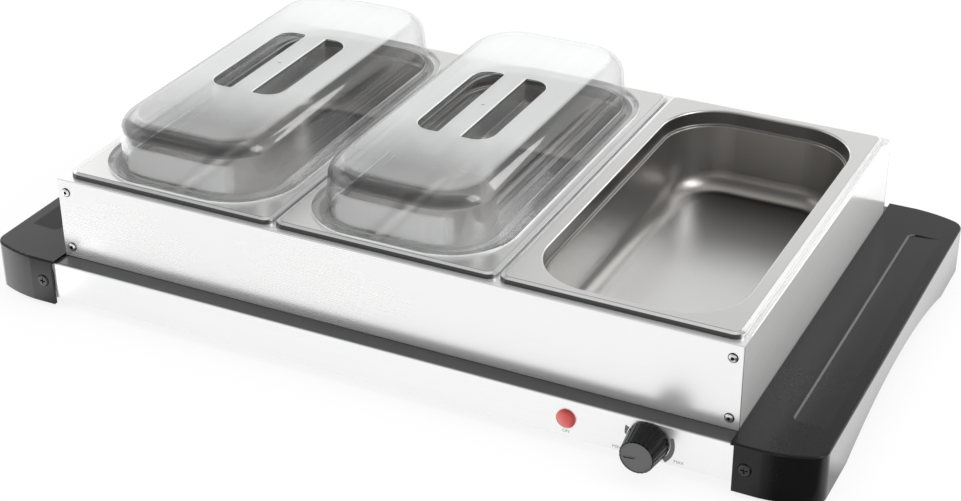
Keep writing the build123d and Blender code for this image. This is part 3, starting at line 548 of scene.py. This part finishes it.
trimForm = {"detail": 3.0, "tone": 0.2, "rough": 0.12, "bump": 0.04, "bumpDepth": 0.2 * mm}
trimLooks = {  # name, colour, roughness and the scale of its wear
    "screwSteel": ("platedScrewSteel", (0.62, 0.62, 0.63), 0.28, 700.0),
    "handleScrewSteel": ("blackedScrewSteel", (0.06, 0.06, 0.062), 0.34, 700.0),
    "foil": ("heaterFoil", (0.85, 0.85, 0.86), 0.35, 120.0),
    "cutoutMetal": ("cutoutCan", (0.66, 0.66, 0.66), 0.3, 300.0),
    "brass": ("turnedBrass", (0.78, 0.60, 0.30), 0.3, 500.0),
    "copper": ("drawnCopper", (0.80, 0.46, 0.32), 0.3, 500.0),
}


def metalTrim(name, colour, roughness, scale):
    metal = Finish(name, metallic=1.0)
    wear = metal.noise(metal.place(), scale, trimForm["detail"]) - 0.5
    metal.set(baseColor=metal.shade(colour, 1 + wear * trimForm["tone"]))
    metal.set(roughness=roughness + wear * trimForm["rough"])
    metal.set(normal=metal.bump(wear, trimForm["bump"], trimForm["bumpDepth"]))
    return metal


rivetLook = {
    "colour": (0.82, 0.82, 0.83), "rivetShadeColour": (0.03, 0.03, 0.03), "roughness": 0.3, "wearScale": 600.0,
    "ring": (3.05 * mm, 0.3 * mm), "hole": (1.35 * mm, 0.2 * mm), "fromEnd": 7.0 * mm,
    "lowRise": 9.0 * mm, "highRise": 55.4 * mm,
}


def makeRivetMetal():
    look = rivetLook
    rivet = metalTrim("satinRivetMetal", look["colour"], look["roughness"], look["wearScale"])
    low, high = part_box("rack_front_panel")
    halfX = (high.x - low.x) / 2
    x, y, z = rivet.split(rivet.place())
    across = abs(abs(x - (low.x + halfX)) - (halfX - look["fromEnd"]))
    rise = z - low.z
    up = abs(rise - look["lowRise"]).smaller(abs(rise - look["highRise"]))
    radius = (across ** 2 + up ** 2) ** 0.5
    # painted shade round the edge of each head and in its centre hole
    dark = radius.above(*look["ring"]).larger(radius.below(*look["hole"]))
    rivet.set(baseColor=rivet.blend(dark, look["colour"], look["rivetShadeColour"]))
    return rivet


inkLook = {
    "markColour": (0.16, 0.16, 0.16), "textColour": (0.30, 0.30, 0.30), "roughness": 0.45,
    "fleckScale": 2500.0, "fleckDetail": 2.0, "fleckTone": 0.16, "fleckRough": 0.1,
}


def inkFinish(name, colour):
    ink = Finish(name)
    fleck = ink.noise(ink.place(), inkLook["fleckScale"], inkLook["fleckDetail"])
    ink.set(baseColor=ink.shade(colour, 1 + (fleck - 0.5) * inkLook["fleckTone"]))
    ink.set(roughness=inkLook["roughness"] + fleck * inkLook["fleckRough"])
    return ink


finishes = {
    "rackSteel": makeRackSteel(),
    "rackEndSteel": makeRackEndSteel(),
    "plateSteel": makePlateSteel(),
    "panSteel": makePanSteel(),
    "coverSteel": makeCoverSteel(),
    "handlePlastic": makeHandlePlastic(),
    "knobPlastic": makeKnobPlastic(),
    "controlMoulding": moulding("brownControlMoulding", controlLook)[0],
    "blockNylon": moulding("creamTerminalNylon", nylonLook)[0],
    "blackRubber": moulding("blackFootRubber", rubberLook)[0],
    "leadSleeve": moulding("creamHeaterLead", leadLook)[0],
    "lidClear": makeLidClear(),
    "lensRed": makeLensRed(),
    "rivetMetal": makeRivetMetal(),
    "markInk": inkFinish("greyMarkInk", inkLook["markColour"]),
    "textInk": inkFinish("greyTextInk", inkLook["textColour"]),
}
for key, look in trimLooks.items():
    finishes[key] = metalTrim(*look)
print("finishes made:", len(finishes))

nodeFinish = {
    "hot_plate_shell": "plateSteel", "bottom_cover": "coverSteel", "bottom_cover_screws": "screwSteel",
    "rubber_feet": "blackRubber", "foot_screws": "screwSteel", "left_handle": "handlePlastic",
    "right_handle": "handlePlastic", "handle_screws": "handleScrewSteel", "handle_brackets": "coverSteel",
    "heater_foil": "foil", "heater_wire": "leadSleeve", "thermal_cutout": "cutoutMetal",
    "thermostat_body": "controlMoulding", "thermostat_nut": "brass", "thermostat_shaft": "brass",
    "thermostat_sensor": "copper", "control_knob": "knobPlastic", "indicator_lens": "lensRed",
    "indicator_body": "controlMoulding", "cord_gland": "blackRubber", "terminal_block": "blockNylon",
    "rack_front_panel": "rackSteel", "rack_rear_panel": "rackSteel", "rack_left_end": "rackEndSteel",
    "rack_right_end": "rackEndSteel", "rack_divider_left": "rackSteel", "rack_divider_right": "rackSteel",
    "rack_rivets": "rivetMetal", "pan_left": "panSteel", "pan_middle": "panSteel", "pan_right": "panSteel",
    "lid_left": "lidClear", "lid_middle": "lidClear",
}
for name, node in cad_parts.items():
    node.data.materials.clear()
    node.data.materials.append(finishes[nodeFinish[name]].material)
print("frame dressed:", len(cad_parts), "nodes")


# Printed marks round the knob and under the lamp

marks = {
    "lift": 0.05 * mm, "steps": 24, "textHeight": 3.4 * mm,
    "low": {"angles": (178.0, 155.0), "inner": (16.0 * mm, 15.4 * mm), "outer": (17.2 * mm, 18.6 * mm)},
    "high": {"angles": (22.0, -49.0), "inner": (16.0 * mm, 15.0 * mm), "outer": (18.7 * mm, 18.5 * mm)},
    "minShift": (-23.0 * mm, -12.0 * mm), "maxShift": (21.8 * mm, -11.2 * mm), "lampShift": (0.0, -10.2 * mm),
}
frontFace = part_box("hot_plate_shell")[0].y
knobLow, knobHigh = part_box("control_knob")
knobCentre = (knobLow + knobHigh) / 2
lensLow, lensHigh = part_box("indicator_lens")
lensCentre = (lensLow + lensHigh) / 2


def addPiece(name, mesh, finish, body):
    piece = bpy.data.objects.new(name, mesh)
    bpy.context.scene.collection.objects.link(piece)
    mesh.materials.clear()
    mesh.materials.append(finishes[finish].material)
    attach(piece, body)


def addPlate(form, outline, y, thickness):  # a thin solid standing on the front face
    back = [form.verts.new((x, y, z)) for x, z in outline]
    front = [form.verts.new((x, y - thickness, z)) for x, z in outline]
    form.faces.new(back)
    form.faces.new(front[::-1])
    for i in range(len(outline)):
        j = (i + 1) % len(outline)
        form.faces.new((back[i], front[i], front[j], back[j]))


def bandOutline(band):  # one side out along the sweep, the other side back
    start, end = band["angles"]
    sides = []
    for nearRadius, farRadius in (band["inner"], band["outer"]):
        points = []
        for i in range(marks["steps"] + 1):
            share = i / marks["steps"]
            angle = math.radians(start + (end - start) * share)
            radius = nearRadius + (farRadius - nearRadius) * share
            points.append((knobCentre.x + radius * math.cos(angle),
                           knobCentre.z + radius * math.sin(angle)))
        sides.append(points)
    return sides[0] + sides[1][::-1]


def sweepMesh():
    form = bmesh.new()
    for band in (marks["low"], marks["high"]):
        addPlate(form, bandOutline(band), frontFace, marks["lift"])
    bmesh.ops.recalc_face_normals(form, faces=form.faces)
    mesh = bpy.data.meshes.new("heatSweep")
    form.to_mesh(mesh)
    form.free()
    return mesh


def wordMesh(name, text, centre, shift):
    words = bpy.data.curves.new(name, "FONT")
    words.body = text
    words.size = marks["textHeight"]
    words.align_x = "CENTER"
    words.align_y = "CENTER"
    words.extrude = marks["lift"] / 2
    carrier = bpy.data.objects.new(name + "Draft", words)
    bpy.context.scene.collection.objects.link(carrier)
    bpy.context.view_layer.update()
    mesh = bpy.data.meshes.new_from_object(carrier)
    bpy.data.objects.remove(carrier)
    place = Vector((centre.x + shift[0], frontFace - marks["lift"] / 2, centre.z + shift[1]))
    mesh.transform(Matrix.Translation(place) @ Matrix.Rotation(math.pi / 2, 4, "X"))
    return mesh


addPiece("heat_sweep_mark", sweepMesh(), "markInk", "base")
for name, text, centre, shift in (("min_mark", "MIN", knobCentre, marks["minShift"]),
                                  ("max_mark", "MAX", knobCentre, marks["maxShift"]),
                                  ("lamp_mark", "ON", lensCentre, marks["lampShift"])):
    addPiece(name, wordMesh(name, text, centre, shift), "textInk", "base")
print("printed marks made")


# Camera

view = {
    "width": 961, "height": 501, "focalPixels": 1961.1, "centreX": 483.0, "centreY": 248.0,
    "azimuth": 26.454, "elevation": 29.252, "roll": -0.314, "distance": 1.5194,
    "target": (4.78 * mm, -1.55 * mm, 31.13 * mm), "sensor": 36.0, "clip": (0.05, 60.0),
}


def makeCamera():
    azimuth, elevation, roll = (math.radians(view[key]) for key in ("azimuth", "elevation", "roll"))
    back = Vector((math.sin(azimuth) * math.cos(elevation), -math.cos(azimuth) * math.cos(elevation),
                   math.sin(elevation)))
    right = (-back).cross(Vector((0, 0, 1))).normalized()
    up = right.cross(-back)
    turnedRight = right * math.cos(roll) + up * math.sin(roll)
    turnedUp = up * math.cos(roll) - right * math.sin(roll)
    data = bpy.data.cameras.new("photoCamera")
    data.sensor_width = view["sensor"]
    data.lens = view["focalPixels"] * view["sensor"] / view["width"]
    data.shift_x = (view["width"] / 2 - view["centreX"]) / view["width"]
    data.shift_y = (view["centreY"] - view["height"] / 2) / view["width"]
    data.dof.use_dof = False
    data.clip_start, data.clip_end = view["clip"]
    camera = bpy.data.objects.new("photoCamera", data)
    bpy.context.scene.collection.objects.link(camera)
    turn = Matrix((turnedRight, turnedUp, back)).transposed().to_4x4()
    camera.matrix_world = Matrix.Translation(Vector(view["target"]) + back * view["distance"]) @ turn
    bpy.context.scene.camera = camera


makeCamera()
print("camera placed")


# Studio: a white sweep, soft lamps, and a graded sky that the camera, gloss and clear plastic see

studio = {
    "light": 0.74,
    "sky": ((0.00, (1.0, 1.0, 1.0)), (0.44, (0.98, 0.98, 0.98)), (0.50, (0.79, 0.79, 0.79)),
            (0.60, (0.45, 0.45, 0.45)), (0.68, (0.24, 0.24, 0.24)), (0.82, (0.36, 0.36, 0.36)),
            (1.00, (0.80, 0.80, 0.80))),
    "front": (0.13, 0.13, 0.135), "frontY": (-0.35, 0.5), "frontZ": (0.30, 0.2),
    "leftGlow": (1.9, 1.9, 1.9), "leftX": (-0.562, 0.012), "leftY": (0.3, 0.2), "leftZ": (0.30, 0.52, 0.06),
    "lamps": (  # name, place, target, up, size and power
        ("overheadLamp", (0.1, 0.1, 2.2), (0, 0, 0), (0, 1, 0), (2.2, 2.2), 17.0),
        ("leftLamp", (-1.9, -0.9, 1.3), (0, 0, 0.05), (0, 0, 1), (1.2, 1.2), 4.5),
        ("rightLamp", (1.7, 0.0, 1.4), (0, 0, 0.05), (0, 0, 1), (0.8, 1.2), 12.0),
        ("streakLamp", (0.98, 1.56, 0.90), (0.073, -0.07, 0.146), (-0.64, 0, 0.77), (0.13, 1.2), 2.0),
    ),
    "hiddenInGloss": ("overheadLamp",),
}


def makeWorld():
    world = bpy.data.worlds.new("studioSky")
    bpy.context.scene.world = world
    world.use_nodes = True
    sky = Graph(world.node_tree)
    x, y, z = sky.split(sky.node("ShaderNodeTexCoord", output="Generated"))
    graded = sky.node("ShaderNodeValToRGB", {"stops": studio["sky"]}, {"Fac": z})
    inFront = y.below(*studio["frontY"]) * z.above(*studio["frontZ"])
    farLeft = x.below(*studio["leftX"]) * y.above(*studio["leftY"]) * z.within(*studio["leftZ"])
    colour = sky.blend(farLeft, sky.blend(inFront, graded, studio["front"]), studio["leftGlow"])
    light = sky.node("ShaderNodeBackground", None, {"Color": (1, 1, 1), "Strength": studio["light"]})
    shown = sky.node("ShaderNodeBackground", None, {"Color": colour})
    both = sky.node("ShaderNodeMixShader", None, {0: sky.seen(), 1: light, 2: shown})
    sky.node("ShaderNodeOutputWorld", None, {0: both})


floorLook = {
    "size": 30.0, "colour": (0.93, 0.93, 0.93), "roughness": 0.9, "shadow": 0.15, "cardSoft": 20.0 * mm,
    "cards": (  # dark and bright patches that only gloss sees: span in X, span in Y, brightness
        ((0.292, 0.75), (-0.75, -0.17), 0.0),
        ((0.335, 0.62), (-0.12, 0.50), 2.3),
        ((-0.80, -0.290), (-0.225, 0.10), 2.6),
    ),
}


def makeFloor():
    half = floorLook["size"] / 2
    mesh = bpy.data.meshes.new("studioFloor")
    corners = [(-half, -half, 0), (half, -half, 0), (half, half, 0), (-half, half, 0)]
    mesh.from_pydata(corners, [], [(0, 1, 2, 3)])
    floor = bpy.data.objects.new("studioFloor", mesh)
    bpy.context.scene.collection.objects.link(floor)
    paper = Finish("whitePaper", roughness=floorLook["roughness"], baseColor=floorLook["colour"])
    x, y, z = paper.split(paper.place())
    gloss = paper.node("ShaderNodeLightPath", output="Is Glossy Ray")
    brightness, covered = 1.0, 0.0
    for spanX, spanY, cardBrightness in floorLook["cards"]:
        card = gloss * x.within(*spanX, floorLook["cardSoft"]) * y.within(*spanY, floorLook["cardSoft"])
        brightness = card * (cardBrightness - 1) + brightness
        covered = card + covered
    share = paper.seen() * (1 - floorLook["shadow"] * (1 - covered))
    paper.coverWith("ShaderNodeEmission", {"Color": paper.shade((1, 1, 1), brightness)}, share)
    mesh.materials.append(paper.material)


def makeLamps():
    for name, place, target, up, size, power in studio["lamps"]:
        data = bpy.data.lights.new(name, "AREA")
        data.shape = "RECTANGLE"
        data.size, data.size_y = size
        data.energy = power
        lamp = bpy.data.objects.new(name, data)
        back = (Vector(place) - Vector(target)).normalized()
        side = Vector(up).cross(back).normalized()
        turn = Matrix((side, back.cross(side), back)).transposed().to_4x4()
        lamp.matrix_world = Matrix.Translation(Vector(place)) @ turn
        lamp.visible_glossy = name not in studio["hiddenInGloss"]
        bpy.context.scene.collection.objects.link(lamp)


makeWorld()
makeFloor()
makeLamps()
bpy.context.scene.view_settings.view_transform = "Standard"
print("studio ready")
